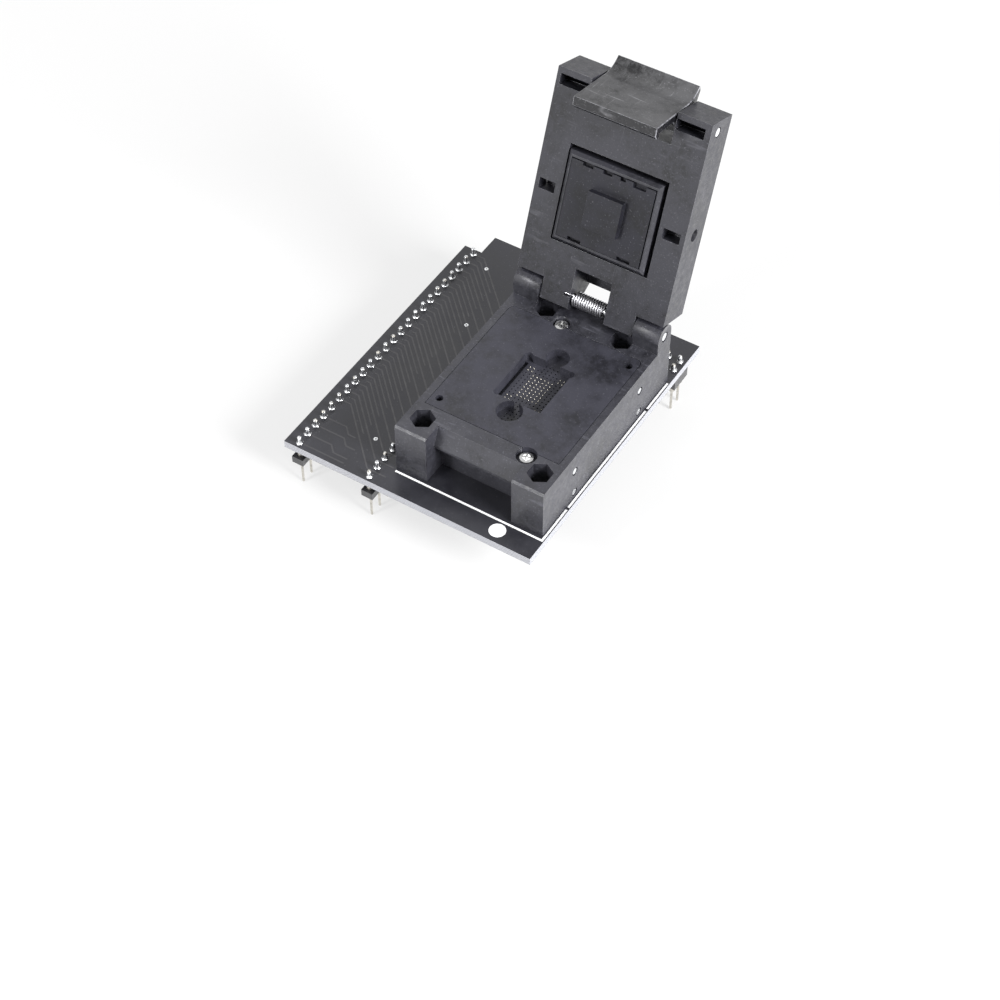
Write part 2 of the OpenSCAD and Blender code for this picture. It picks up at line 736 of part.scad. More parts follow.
// Section of the lid between the ears: plate, knuckle and the heel that stops on the base.
module knuckle_profile() {
    d = axis_over_top - 0.045;
    n = [sin(open_angle), -cos(open_angle)];
    f = [cos(open_angle), sin(open_angle)];
    heel = n * d;
    heel_back = heel + f * 2.2;
    intersection() {
        circle(r = knuckle_r, $fn = 64);
        translate([-knuckle_r - over, -lid_drop]) square(2 * (knuckle_r + over));
    }
    polygon([
        [-shoulder - over, -lid_drop], [knuckle_toe, -lid_drop], heel, heel_back,
        [-1, lid_top], [-shoulder - over, lid_top]
    ]);
}

module pin_window(s, x, w) {
    translate([x, -s, -lid_drop - over]) box(w, 2.05, over + lid_drop + 1.3);
}

// Groove in the inner face that holds the leg of the lid spring.
module leg_groove() {
    end = hinge_coil_x - hinge_coil_len / 2 - hinge_leg - 0.2;
    y = hinge_coil_r * cos(hinge_first) - 0.07;
    z = hinge_coil_r * sin(hinge_first) - 0.37;
    deep = z + hinge_wire_r + 0.05 + lid_drop + over;
    translate([end, y - hinge_wire_r - 0.08, -lid_drop - over])
        cube([-end - spring_pocket + 0.1, 2 * hinge_wire_r + 0.16, deep]);
}

module lid() {
    color(black)
        on_lid() difference() {
            union() {
                translate([0, -(lid_len + shoulder) / 2, -lid_drop])
                    box(sock_w, lid_len - shoulder, lid_t);
                along_x(2 * knuckle_x) knuckle_profile();
            }
            rod_x(hinge_r + run, sock_w + 2 * over);
            // Spring pocket, open to the inner face and to the base
            translate([-spring_pocket, -spring_pocket_s, -lid_drop - over])
                cube([2 * spring_pocket, spring_pocket_s + past, lid_t + over - spring_wall]);
            translate([-spring_pocket, -spring_window_s, 0])
                cube([2 * spring_pocket, spring_window_s + past, lid_top + over]);
            leg_groove();
            // Opening for the pressure plate
            translate([0, -window_s, -lid_drop - over])
                box(window_w, window_d, lid_t - window_wall + over);
            for (x = [-spring_x, spring_x], y = [-spring_y, spring_y])
                translate([x, y - window_s, lid_top - window_wall - over])
                    cylinder(r = spring_r + wire_r + fit, h = spring_bore_d + over, $fn = curve);
            translate([0, -window_s, plate_pin_up]) {
                rod_x(plate_pin_r + snug, sock_w + 2 * over);
                mouths(plate_pin_r + 0.45, 1);
            }
            pin_window(window_s, pin_window_l - sock_w / 2, pin_window_lw);
            pin_window(window_s, sock_w / 2 - pin_window_r, pin_window_rw);
            // Latch slot and the bore of its pin
            translate([0, -lid_len - over, -lid_drop - over])
                translate([-slot_w / 2, 0, 0]) cube([slot_w, slot_d + over, lid_t + 2 * over]);
            translate([0, -latch_s, latch_up]) {
                rod_x(latch_pin_r + snug, sock_w + 2 * over);
                mouths(latch_pin_r + 0.2, 0.3);
            }
            pin_window(latch_s, latch_window_l - sock_w / 2, latch_window_lw);
            pin_window(latch_s, sock_w / 2 - latch_window_r, latch_window_rw);
        }
}

// Section of the latch about its pin, upright, with the nose toward +Y.
module latch_profile() {
    difference() {
        polygon([
            [-2.05, -hook_reach], [-0.35, -hook_reach], [0.35, -hook_reach + 0.6],
            [0.35, -hook_catch], [-0.5, -hook_catch], [-0.5, -3.4], [0.4, -2.5], [1.9, -2.2],
            [1.9, 4.2], [-1.2, 5.3], [-3.1, 6], [-4.3, 5.5], [-4.3, 1], [-2.05, 1]
        ]);
        translate([-scoop_out, scoop_up]) circle(r = scoop_r, $fn = 96);
    }
}

module latch() {
    notch = 5.4;
    color(black)
        on_lid() translate([0, -latch_s, latch_up]) rotate([latch_lean, 0, 0]) difference() {
            along_x(latch_w) latch_profile();
            rod_x(latch_pin_r + run, latch_w + 2 * over);
            translate([-notch / 2, -1.5, -1.6]) cube([notch, 5, 4.2]);
        }
}

module latch_pin() {
    color(steel) on_lid() translate([0, -latch_s, latch_up]) rod_x(latch_pin_r, sock_w - 0.2);
}

module latch_spring() {
    coil = coil_x(latch_pin_r + 0.3, latch_coil_len, 8, 90, 14);
    last = coil[len(coil) - 1];
    tail = [last + [0.02, 0.5, 0.02], last + [0.04, 1.1, 0.04], last + [0.06, 1.9, 0.1]];
    color(steel) on_lid() translate([0, -latch_s, latch_up])
        wire(concat(coil, tail), 0.2, [1, 0.02, 0.01]);
}

module pressure_plate() {
    back = plate_pin_up + plate_pin_r + 0.35;
    chamfer = 0.6;
    color(black)
        on_lid() translate([0, -window_s, 0]) difference() {
            union() {
                translate([plate_dx, plate_dy, plate_face + chamfer])
                    box(plate_w, plate_d, plate_back - plate_face - chamfer);
                translate([plate_dx, plate_dy, plate_face])
                    box(plate_w - 2 * chamfer, plate_d - 2 * chamfer, 2);
                // Sloped edges of the face
                translate([plate_dx, plate_dy, 0]) intersection() {
                    translate([0, 0, plate_face]) along_x(plate_w) polygon([
                        [-plate_d / 2 + chamfer, 0], [plate_d / 2 - chamfer, 0],
                        [plate_d / 2, chamfer], [plate_d / 2, 1.4], [-plate_d / 2, 1.4],
                        [-plate_d / 2, chamfer]
                    ]);
                    translate([0, -plate_d / 2, plate_face]) rotate([90, 0, 180])
                        linear_extrude(plate_d) polygon([
                            [-plate_w / 2 + chamfer, 0], [plate_w / 2 - chamfer, 0],
                            [plate_w / 2, chamfer], [plate_w / 2, 1.4], [-plate_w / 2, 1.4],
                            [-plate_w / 2, chamfer]
                        ]);
                }
                translate([0, 0, plate_back - 0.1]) box(boss_w, boss_d, back - plate_back + 0.1);
            }
            translate([plate_dx, plate_dy, plate_face - over])
                box(pad_w + 2 * pad_fit, pad_d + 2 * pad_fit, pad_t + over);
            // Slot for the cross pin, long enough for the travel
            for (z = [plate_pin_up - plate_travel, plate_pin_up])
                translate([0, 0, z]) rod_x(plate_pin_r + run, plate_w);
            translate([-plate_w / 2, -plate_pin_r - run, plate_pin_up - plate_travel])
                cube([plate_w, 2 * (plate_pin_r + run), plate_travel]);
        }
}

// The insert sits against the left and hinge walls of its seat. Each notch: place, width, depth.
module pressure_pad() {
    top_notches = [[-5.2, 2.1, 0.6], [-1.2, 1.8, 0.6], [1.9, 1.1, 0.6], [5.3, 2.6, 0.9]];
    low_notches = [[-4.9, 2.7], [5.3, 2.7]];
    push = pad_fit - 0.06;
    color(soot)
        on_lid() translate([plate_dx - push, plate_dy + push - window_s, plate_face]) difference() {
            union() {
                box(pad_w, pad_d, pad_t);
                translate([0, 0, -presser_h]) box(presser_w, presser_w, presser_h + 0.1);
            }
            for (n = top_notches)
                translate([n[0], -pad_d / 2 + n[2] - 0.5, -over]) box(n[1], 1, 1.8);
            for (n = low_notches) translate([n[0], pad_d / 2 - 0.25, -over]) box(n[1], 0.8, 1.8);
        }
}

module pressure_pin() {
    color(steel)
        on_lid() translate([0, -window_s, plate_pin_up]) rod_x(plate_pin_r, sock_w - 4.4);
}

module pressure_springs() {
    length = lid_top - window_wall + spring_bore_d - plate_travel - plate_back - 0.05;
    color(steel)
        on_lid() translate([0, -window_s, plate_back + 0.2]) for (x = [-1, 1], y = [-1, 1])
            translate([x * spring_x, y * spring_y, 0])
                wire(coil_z(spring_r, length - 0.4, 4), 0.2, [0.01, 0.02, 1], 5);
}

circuit_board();
left_header_strip();
right_header_strip();
left_header_pins();
right_header_pins();
side_header_strip();
side_header_pins();
solder_joints();
socket_base();
contact_block();
contact_probes();
block_pins();
guide_plate();
guide_screws();
mounting_nuts();
mounting_screws();
hinge_pin();
hinge_spring();
lid();
latch();
latch_pin();
latch_spring();
pressure_plate();
pressure_pad();
pressure_pin();
pressure_springs();
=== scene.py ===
import math
import random

import bmesh
import bpy
from mathutils import Matrix, Vector


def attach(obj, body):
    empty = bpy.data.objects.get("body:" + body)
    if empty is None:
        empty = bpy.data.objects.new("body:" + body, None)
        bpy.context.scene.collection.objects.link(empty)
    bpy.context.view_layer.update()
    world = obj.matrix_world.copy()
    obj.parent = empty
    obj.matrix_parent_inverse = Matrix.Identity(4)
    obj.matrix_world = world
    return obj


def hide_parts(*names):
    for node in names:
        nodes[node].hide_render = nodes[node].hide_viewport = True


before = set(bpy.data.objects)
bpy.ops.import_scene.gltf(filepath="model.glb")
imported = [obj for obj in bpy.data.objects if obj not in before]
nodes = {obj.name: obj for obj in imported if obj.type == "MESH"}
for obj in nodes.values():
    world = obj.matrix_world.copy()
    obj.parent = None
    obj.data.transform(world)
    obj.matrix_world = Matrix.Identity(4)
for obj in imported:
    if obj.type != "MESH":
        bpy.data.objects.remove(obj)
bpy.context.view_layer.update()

MM = 0.001

# ---------------------------------------------------------------- sizes, in millimetres, row frame
BOARD_TOP = 10.6
ROW_GAP = 15.24
PITCH = 2.54
ROW_PINS = 24
SIDE_HEADER = (39.55, 23.8)
SOCKET = (25.95, -2.77)
HINGE = Vector((25.95, 17.04, 24.11))
LID_TURN = Matrix.Rotation(math.radians(-110), 3, "X")
LATCH_PIN = Vector((0, -39.85, 1.16))


def on_lid(p):
    """A point drawn on the closed lid, about its hinge axis, to its place on the open lid."""
    return HINGE + LID_TURN @ Vector(p)


def row_y(i):
    return (i - (ROW_PINS - 1) / 2) * PITCH


# ---------------------------------------------------------------- camera, at the photograph's angle
def place_camera():
    away = Vector((0.34863, -0.55108, 0.75813)).normalized()
    target = Vector((30.465, -21.689, 10.6)) * MM
    roll = math.radians(-0.275)
    right = (-away).cross(Vector((0, 0, 1))).normalized()
    up = right.cross(-away)
    x_axis = math.cos(roll) * right + math.sin(roll) * up
    y_axis = -math.sin(roll) * right + math.cos(roll) * up
    data = bpy.data.cameras.new("camera")
    data.lens = 82.13
    data.sensor_width = 36
    data.clip_start = 0.01
    camera = bpy.data.objects.new("camera", data)
    bpy.context.scene.collection.objects.link(camera)
    turn = Matrix((x_axis, y_axis, away)).transposed().to_4x4()
    camera.matrix_world = Matrix.Translation(target + away * 0.40398) @ turn
    bpy.context.scene.camera = camera


place_camera()


# ---------------------------------------------------------------- materials
def linear(hex_code):
    """An sRGB hex colour as linear RGBA."""
    out = []
    for k in (1, 3, 5):
        c = int(hex_code[k:k + 2], 16) / 255
        out.append(c / 12.92 if c <= 0.04045 else ((c + 0.055) / 1.055) ** 2.4)
    return (*out, 1.0)


def per_mm(size):
    """The scale of a texture whose features are this many millimetres apart."""
    return 1000.0 / size


def add(material, kind, inputs=None, **settings):
    """Adds one shader node. An input's value is a plain value or the output socket that feeds it."""
    tree = material.node_tree
    made = tree.nodes.new("ShaderNode" + kind)
    for name, value in settings.items():
        setattr(made, name, value)
    for name, value in (inputs or {}).items():
        if isinstance(value, bpy.types.NodeSocket):
            tree.links.new(value, made.inputs[name])
        else:
            made.inputs[name].default_value = value
    return made


def new_material(name, **values):
    """An empty material with one shader, whose plain values are set on the shader's own sockets."""
    material = bpy.data.materials.new(name)
    material.use_nodes = True
    tree = material.node_tree
    tree.nodes.clear()
    shader = add(material, "BsdfPrincipled")
    for socket, value in values.items():
        shader.inputs[socket.replace("_", " ")].default_value = value
    add(material, "OutputMaterial", {"Surface": shader.outputs[0]})
    material.diffuse_color = (0.1, 0.1, 0.1, 1)
    place = add(material, "TexCoord").outputs["Object"]
    return material, shader, place


def feed(material, shader, socket, output):
    material.node_tree.links.new(output, shader.inputs[socket])


def grain(material, place, size, detail=3.0, roughness=0.55, stretch=(1, 1, 1), turn=(0, 0, 0)):
    """Noise with features of this many millimetres, stretched along an axis if asked."""
    if stretch != (1, 1, 1) or turn != (0, 0, 0):
        place = add(material, "Mapping", {"Vector": place, "Scale": stretch, "Rotation": turn}).outputs[0]
    return add(material, "TexNoise", {
        "Vector": place, "Scale": per_mm(size), "Detail": detail, "Roughness": roughness}).outputs[0]


def between(material, value, low, high, to_low=0.0, to_high=1.0):
    """Value from low..high brought to to_low..to_high, held at its ends."""
    return add(material, "MapRange", {
        "Value": value, "From Min": low, "From Max": high, "To Min": to_low, "To Max": to_high}).outputs[0]


def blend(material, share, first, second):
    """Colour first where share is 0 and second where it is 1."""
    made = add(material, "Mix", data_type="RGBA")
    sockets = {"A": first, "B": second}
    for s in made.inputs:
        if s.name in sockets and s.type == "RGBA":
            value = sockets[s.name]
            if isinstance(value, bpy.types.NodeSocket):
                material.node_tree.links.new(value, s)
            else:
                s.default_value = linear(value) if isinstance(value, str) else value
    material.node_tree.links.new(share, made.inputs[0])
    return next(s for s in made.outputs if s.type == "RGBA")


def times(material, a, b):
    return add(material, "Math", {0: a, 1: b}, operation="MULTIPLY").outputs[0]


def raised(material, shader, height, depth_mm, strength=1.0):
    """Bumps whose highest points stand depth_mm over the lowest."""
    bump = add(material, "Bump", {"Height": height, "Strength": strength, "Distance": depth_mm * MM})
    feed(material, shader, "Normal", bump.outputs[0])


def moulded_pps(name, dark, light, scuff, wear=0.5, rough=0.46, dust=0.5, shaded_side_colour=None, crown=None,
                ior=1.5):
    """Moulded polyphenylene sulphide with glass fibre: a dull black skin, cloudy where the melt flowed,
    with a fine pitted grain, grey fibre flecks, pale rubbed streaks and a little dust. A colour given
    for the side faces is painted shade: the faces that do not point up take it, and what lies higher than
    crown is rubbed smooth."""
    m, shader, place = new_material(name, IOR=ior)
    clouds = grain(m, place, 11, 6, 0.7)
    blots = grain(m, place, 1.3, 5, 0.75)
    flecks = grain(m, place, 0.34, 2, 0.75)
    pits = grain(m, place, 0.42, 5, 0.7)
    body = blend(m, between(m, clouds, 0.38, 0.58), dark, light)
    body = blend(m, between(m, blots, 0.42, 0.62, 0, 0.9), body, light)
    # Painted shade: faces that do not point up are darkened to the given colour.
    if shaded_side_colour:
        faces = add(m, "SeparateXYZ", {0: add(m, "TexCoord").outputs["Normal"]})
        body = blend(m, between(m, faces.outputs["Z"], 0.36, 0.6), shaded_side_colour, body)
    body = blend(m, between(m, flecks, 0.6, 0.76, 0, dust), body, scuff)
    # Short rubs from chips and fingers, a tenth of a millimetre wide, drawn twice as wide to show
    rubs = grain(m, place, 2.4, 2, 0.5, stretch=(0.25, 3.2, 1.6), turn=(0.4, 0.3, 0.6))
    nicks = grain(m, place, 1.5, 2, 0.6, stretch=(4.5, 0.3, 0.3), turn=(0.2, 0.7, 0.25))
    patches = between(m, grain(m, place, 5, 3, 0.6), 0.46, 0.62)
    lines = add(m, "Math", {0: between(m, rubs, 0.62, 0.7), 1: between(m, nicks, 0.66, 0.74)},
                operation="MAXIMUM").outputs[0]
    rubbed = times(m, times(m, lines, patches), wear)
    feed(m, shader, "Base Color", blend(m, rubbed, body, scuff))
    finish = between(m, blots, 0.34, 0.66, rough - 0.09, rough + 0.11)
    if crown:
        height = add(m, "SeparateXYZ", {0: place}).outputs["Z"]
        finish = times(m, finish, between(m, height, crown * MM, (crown + 0.5) * MM, 1, 0.5))
    feed(m, shader, "Roughness", finish)
    raised(m, shader, pits, 0.045, 0.7)
    return m


def worn_and_highlit_edge(name, colour):
    """The same plastic on a rounded corner: rubbed smoother and paler where handled, and made paler still
    as a painted highlight along the edge.
    """
    m, shader, place = new_material(name, IOR=1.6, Roughness=0.3)
    spots = grain(m, place, 0.9, 4, 0.7)
    feed(m, shader, "Base Color", blend(m, between(m, spots, 0.36, 0.64), "#3c3c41", colour))
    raised(m, shader, grain(m, place, 0.2, 2), 0.01, 0.4)
    return m


def machined_peek(name, dark, light, ior=1.58):
    """Milled black plastic: even and dull, with the faint parallel strokes of a cutter 0.4 mm apart."""
    m, shader, place = new_material(name, IOR=ior)
    clouds = grain(m, place, 6, 4, 0.6)
    strokes = grain(m, place, 0.4, 3, 0.6, stretch=(0.16, 1, 1))
    specks = grain(m, place, 0.34, 2, 0.75)
    blots = grain(m, place, 1.1, 4, 0.7)
    body = blend(m, between(m, clouds, 0.38, 0.6), dark, light)
    body = blend(m, between(m, blots, 0.44, 0.64, 0, 0.7), body, light)
    body = blend(m, between(m, specks, 0.62, 0.78, 0, 0.6), body, "#6a6a70")
    feed(m, shader, "Base Color", body)
    feed(m, shader, "Roughness", between(m, clouds, 0.3, 0.7, 0.42, 0.6))
    raised(m, shader, strokes, 0.005, 0.6)
    return m


def solder_mask():
    """Fibreglass laminate under matt black solder mask. Where it is cut, the pale resin and the layers
    of glass cloth show, 0.2 mm apart."""
    m, shader, place = new_material("solder_mask_on_laminate", IOR=1.5)
    axes = add(m, "SeparateXYZ", {0: place})
    height = add(m, "Math", {0: axes.outputs["Z"], 1: 9.8 * MM}, operation="SUBTRACT").outputs[0]
    height = add(m, "Math", {0: height}, operation="ABSOLUTE").outputs[0]
    skin = between(m, height, 0.7799 * MM, 0.7801 * MM)
    weave = add(m, "TexWave", {"Vector": place, "Scale": per_mm(0.2) / (2 * math.pi), "Distortion": 1.5,
                               "Detail": 2.0}, bands_direction="Z").outputs[1]
    cut = blend(m, weave, "#8c8d93", "#b0b1b7")
    clouds = grain(m, place, 7, 4, 0.6)
    cloth = grain(m, place, 0.5, 1, 0.4)
    mask = blend(m, between(m, clouds, 0.35, 0.68), "#1d1d23", "#2f2f35")
    dust = grain(m, place, 0.33, 2, 0.75)
    mask = blend(m, between(m, dust, 0.66, 0.8, 0, 0.45), mask, "#8c8c90")
    feed(m, shader, "Base Color", blend(m, skin, cut, mask))
    feed(m, shader, "Roughness", between(m, clouds, 0.3, 0.7, 0.38, 0.5))
    raised(m, shader, cloth, 0.008, 0.4)
    return m


def masked_copper():
    """A copper track under the mask: it stands a little proud, so it is glossier and a shade paler."""
    m, shader, place = new_material("masked_copper", IOR=1.5)
    clouds = grain(m, place, 1.5, 3)
    feed(m, shader, "Base Color", blend(m, clouds, "#2d2c30", "#403f42"))
    feed(m, shader, "Roughness", between(m, clouds, 0.3, 0.7, 0.3, 0.44))
    raised(m, shader, clouds, 0.004, 0.4)
    return m


def screen_ink():
    """Screen-printed epoxy ink: flat white, thin and a little uneven where the mesh let it through."""
    m, shader, place = new_material("screen_ink", IOR=1.48)
    mesh = grain(m, place, 0.12, 2)
    feed(m, shader, "Base Color", blend(m, between(m, mesh, 0.25, 0.5), "#e8e9eb", "#fbfbfc"))
    feed(m, shader, "Roughness", between(m, mesh, 0.3, 0.7, 0.45, 0.6))
    raised(m, shader, mesh, 0.005, 0.4)
    return m


def bright_metal(name, dark, light, rough, grain_mm, depth):
    """A bare or plated metal whose fine marks are grain_mm apart."""
    m, shader, place = new_material(name, Metallic=1.0)
    marks = grain(m, place, grain_mm, 3, 0.6)
    feed(m, shader, "Base Color", blend(m, between(m, marks, 0.3, 0.7), dark, light))
    feed(m, shader, "Roughness", between(m, marks, 0.3, 0.7, rough - 0.06, rough + 0.08))
    raised(m, shader, marks, depth, 0.5)
    return m


def oiled_pin():
    """A steel pin that is brown and oily in its bore, with both ends ground bright."""
    m, shader, place = new_material("oiled_pin_steel", Metallic=1.0)
    axes = add(m, "SeparateXYZ", {0: place})
    out = add(m, "Math", {0: axes.outputs["X"], 1: SOCKET[0] * MM}, operation="SUBTRACT").outputs[0]
    out = add(m, "Math", {0: out}, operation="ABSOLUTE").outputs[0]
    end = between(m, out, 15.1 * MM, 15.2 * MM)
    film = grain(m, place, 0.6, 3)
    oiled = blend(m, film, "#0e0e12", "#1e1e24")
    feed(m, shader, "Base Color", blend(m, end, oiled, "#e4e5e6"))
    feed(m, shader, "Roughness", between(m, film, 0.3, 0.7, 0.36, 0.5))
    return m


def paint(node, *materials):
    slots = nodes[node].data.materials
    slots.clear()
    for material in materials:
        slots.append(material)


lid_plastic = moulded_pps("moulded_pps_lid", "#101015", "#2a2a31", "#6a6a72", wear=0.25)
base_plastic = moulded_pps("moulded_pps_base", "#15151b", "#33333a", "#70707a", wear=0.3, crown=25.5,
                           ior=1.56)
# The latch's down- and side-facing faces are given painted shade.
latch_plastic = moulded_pps("moulded_pps_latch", "#161618", "#4e4e50", "#8a8a8e", wear=0.7, rough=0.4,
                            shaded_side_colour="#0d0d12")
# Pale corners: partly wear, partly a painted highlight along every rounded edge.
worn_highlit_edge_plastic = worn_and_highlit_edge("worn_and_highlit_pps_edge", "#8c8c92")
guide_plastic = machined_peek("machined_peek_guide", "#1c1c22", "#34343d", ior=1.5)
block_plastic = machined_peek("machined_peek_block", "#131317", "#202026")
pad_plastic = machined_peek("machined_peek_pad", "#0f0f14", "#1d1d25", ior=1.4)
strip_plastic = moulded_pps("moulded_pbt_strip", "#1c1c1f", "#29292c", "#48484c", wear=0.2, rough=0.4)
board_finish = solder_mask()
track_finish = masked_copper()
ink = screen_ink()
tin_pins = bright_metal("tin_plated_brass", "#85837e", "#b3b0a9", 0.34, 0.7, 0.002)
probe_gold = bright_metal("gold_alloy_probe", "#6f6c66", "#a3a099", 0.42, 0.1, 0.002)
solder = bright_metal("reflowed_solder", "#b4b6b9", "#f6f7f8", 0.3, 0.45, 0.02)
nickel = bright_metal("nickel_plated_steel", "#c2c2c2", "#f6f6f5", 0.2, 0.2, 0.003)
spring_wire = bright_metal("drawn_spring_wire", "#98989c", "#d2d2d6", 0.32, 0.3, 0.001)
dark_pin = oiled_pin()
pin_steel = bright_metal("ground_pin_steel", "#aeb0b2", "#dcdee0", 0.27, 0.12, 0.002)


# ---------------------------------------------------------------- finish of the solids
def soften(node, width, edge=None, angle=35):
    """Rounds a solid's corners by a few hundredths of a millimetre, with a worn finish and a painted edge
    highlight on them if given.
    """
    piece = nodes[node]
    weld = piece.modifiers.new("join", "WELD")
    weld.merge_threshold = 0.002 * MM
    bevel = piece.modifiers.new("corners", "BEVEL")
    bevel.width = width * MM
    bevel.segments = 2
    bevel.limit_method = "ANGLE"
    bevel.angle_limit = math.radians(angle)
    bevel.use_clamp_overlap = True
    bevel.harden_normals = True
    if edge is not None:
        bevel.material = edge


paint("circuit_board", board_finish)
for n in ("left_header_strip", "right_header_strip", "side_header_strip"):
    paint(n, strip_plastic)
for n in ("left_header_pins", "right_header_pins", "side_header_pins"):
    paint(n, tin_pins)
paint("solder_joints", solder)
paint("socket_base", base_plastic, worn_highlit_edge_plastic)
paint("contact_block", block_plastic)
paint("contact_probes", probe_gold)
paint("guide_plate", guide_plastic)
for n in ("guide_screws", "mounting_nuts", "mounting_screws"):
    paint(n, nickel)
for n in ("hinge_pin", "block_pins"):
    paint(n, pin_steel)
for n in ("latch_pin", "pressure_pin"):
    paint(n, dark_pin)
for n in ("hinge_spring", "latch_spring", "pressure_springs"):
    paint(n, spring_wire)
paint("lid", lid_plastic, worn_highlit_edge_plastic)
paint("latch", latch_plastic, worn_highlit_edge_plastic)
paint("pressure_plate", lid_plastic)
paint("pressure_pad", pad_plastic)

soften("socket_base", 0.16, 1)
soften("lid", 0.16, 1)
soften("latch", 0.16, 1)
soften("pressure_plate", 0.06)
soften("pressure_pad", 0.06)


# ---------------------------------------------------------------- new pieces
def piece_of(name, mesh, material, body, smooth=True):
    made = bpy.data.objects.new(name, mesh)
    bpy.context.scene.collection.objects.link(made)
    mesh.materials.append(material)
    if smooth:
        for face in mesh.polygons:
            face.use_smooth = True
    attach(made, body)
    return made


def coil(name, points, radius, material, body):
    """A round wire along these points, in millimetres, with closed ends."""
    data = bpy.data.curves.new(name, "CURVE")
    data.dimensions = "3D"
    line = data.splines.new("POLY")
    line.points.add(len(points) - 1)
    for spot, p in zip(line.points, points):
        spot.co = (p[0] * MM, p[1] * MM, p[2] * MM, 1)
    data.bevel_depth = radius * MM
    data.bevel_resolution = 3
    data.use_fill_caps = True
    line.use_smooth = True
    data.materials.append(material)
    made = bpy.data.objects.new(name, data)
    bpy.context.scene.collection.objects.link(made)
    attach(made, body)
    return made


def turns_of(radius, length, turns, first, steps=28):
    """Points of a coil about the X axis, centred on the origin; first is its starting angle in degrees."""
    return [Vector((-length / 2 + length * i / (turns * steps),
                    radius * math.cos(math.radians(first) + 2 * math.pi * i / steps),
                    radius * math.sin(math.radians(first) + 2 * math.pi * i / steps)))
            for i in range(turns * steps + 1)]


def hinge_coil():
    """Thirteen close turns round the hinge pin, with a leg along the lid and a short tail."""
    points = [p + Vector((-0.22, 0, 0)) for p in turns_of(1.35, 6.35, 13, 223.5)]
    head = [points[0] + Vector(p) for p in
            ((-1.6, -0.07, -0.37), (-0.9, -0.07, -0.37), (-0.4, -0.07, -0.36), (-0.22, -0.06, -0.28),
             (-0.08, -0.03, -0.13))]
    tail = [points[-1] + Vector(p) for p in ((0.02, 0.18, -0.18), (0.03, 0.35, -0.36), (0.04, 0.65, -0.68))]
    made = coil("hinge_coil", [on_lid(p) for p in head + points + tail], 0.195, spring_wire, "lid")
    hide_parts("hinge_spring")


def latch_coil():
    points = turns_of(1.1, 4.0, 8, 90)
    points += [points[-1] + Vector(p) for p in ((0.02, 0.5, 0.02), (0.04, 1.1, 0.04), (0.06, 1.9, 0.1))]
    made = coil("latch_coil", [on_lid(Vector(p) + LATCH_PIN) for p in points], 0.2, spring_wire, "lid")
    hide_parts("latch_spring")


def solder_fillets():
    """Every joint is a cone of solder drawn up its pin, no two quite alike."""
    chance = random.Random(11)
    places = [(s * ROW_GAP / 2, row_y(i)) for s in (-1, 1) for i in range(ROW_PINS)]
    places += [(SIDE_HEADER[0] + x * PITCH / 2, SIDE_HEADER[1] + y * PITCH / 2)
               for x in (-1, 1) for y in (-1, 1)]
    profile = [(0.72, 0.0), (0.67, 0.05), (0.57, 0.14), (0.49, 0.3), (0.44, 0.5), (0.42, 0.9), (0.41, 1.22),
               (0.34, 1.4), (0.19, 1.49), (0.0, 1.52)]
    mesh = bmesh.new()
    around = 20
    for x, y in places:
        tall = chance.uniform(0.92, 1.08)
        lean = (chance.uniform(-0.03, 0.03), chance.uniform(-0.03, 0.03))
        lobe, start = chance.uniform(0.01, 0.1), chance.uniform(0, 6.28)
        rings = []
        for r, h in profile[:-1]:
            ring = []
            for k in range(around):
                a = 2 * math.pi * k / around
                foot = lobe * max(0, 1 - h / 0.6)
                wide = r * (1 + foot * math.cos(2 * a + start) + 0.5 * foot * math.cos(3 * a - start))
                drift = h * h * 0.5
                ring.append(mesh.verts.new(((x + wide * math.cos(a) + lean[0] * drift) * MM,
                                            (y + wide * math.sin(a) + lean[1] * drift) * MM,
                                            (BOARD_TOP + 0.004 + h * tall) * MM)))
            rings.append(ring)
        tip = mesh.verts.new(((x + lean[0] * 1.2) * MM, (y + lean[1] * 1.2) * MM,
                              (BOARD_TOP + 1.54 * tall) * MM))
        for low, high in zip(rings, rings[1:]):
            for k in range(around):
                mesh.faces.new((low[k], low[(k + 1) % around], high[(k + 1) % around], high[k]))
        for k in range(around):
            mesh.faces.new((rings[-1][k], rings[-1][(k + 1) % around], tip))
        mesh.faces.new(list(reversed(rings[0])))
    data = bpy.data.meshes.new("solder_fillets")
    mesh.to_mesh(data)
    mesh.free()
    made = piece_of("solder_fillets", data, solder, "board_and_base")
    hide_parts("solder_joints")


def ribbon(mesh, points, width, low, high):
    """A flat closed strip along points on the board, mitred at its corners. All in millimetres."""
    sides = []
    for i, p in enumerate(points):
        before = (Vector(p) - Vector(points[i - 1])).normalized() if i else None
        after = (Vector(points[i + 1]) - Vector(p)).normalized() if i < len(points) - 1 else None
        run = before or after
        if before and after:
            run = (before + after).normalized()
        out = Vector((-run.y, run.x))
        reach = width / 2
        if before and after:
            reach /= max(0.5, out.dot(Vector((-before.y, before.x))))
        sides.append([Vector(p) + out * reach, Vector(p) - out * reach])
    corners = [[mesh.verts.new((v.x * MM, v.y * MM, z * MM)) for v in pair for z in (low, high)]
               for pair in sides]
    for a, b in zip(corners, corners[1:]):
        mesh.faces.new((a[1], b[1], b[3], a[3])[::-1])
        mesh.faces.new((a[0], a[2], b[2], b[0])[::-1])
        mesh.faces.new((a[0], b[0], b[1], a[1])[::-1])
        mesh.faces.new((a[2], a[3], b[3], b[2])[::-1])
    mesh.faces.new((corners[0][0], corners[0][1], corners[0][3], corners[0][2])[::-1])
    mesh.faces.new((corners[-1][0], corners[-1][2], corners[-1][3], corners[-1][1])[::-1])


def finished(mesh, name):
    bmesh.ops.recalc_face_normals(mesh, faces=mesh.faces)
    data = bpy.data.meshes.new(name)
    mesh.to_mesh(data)
    mesh.free()
    return data


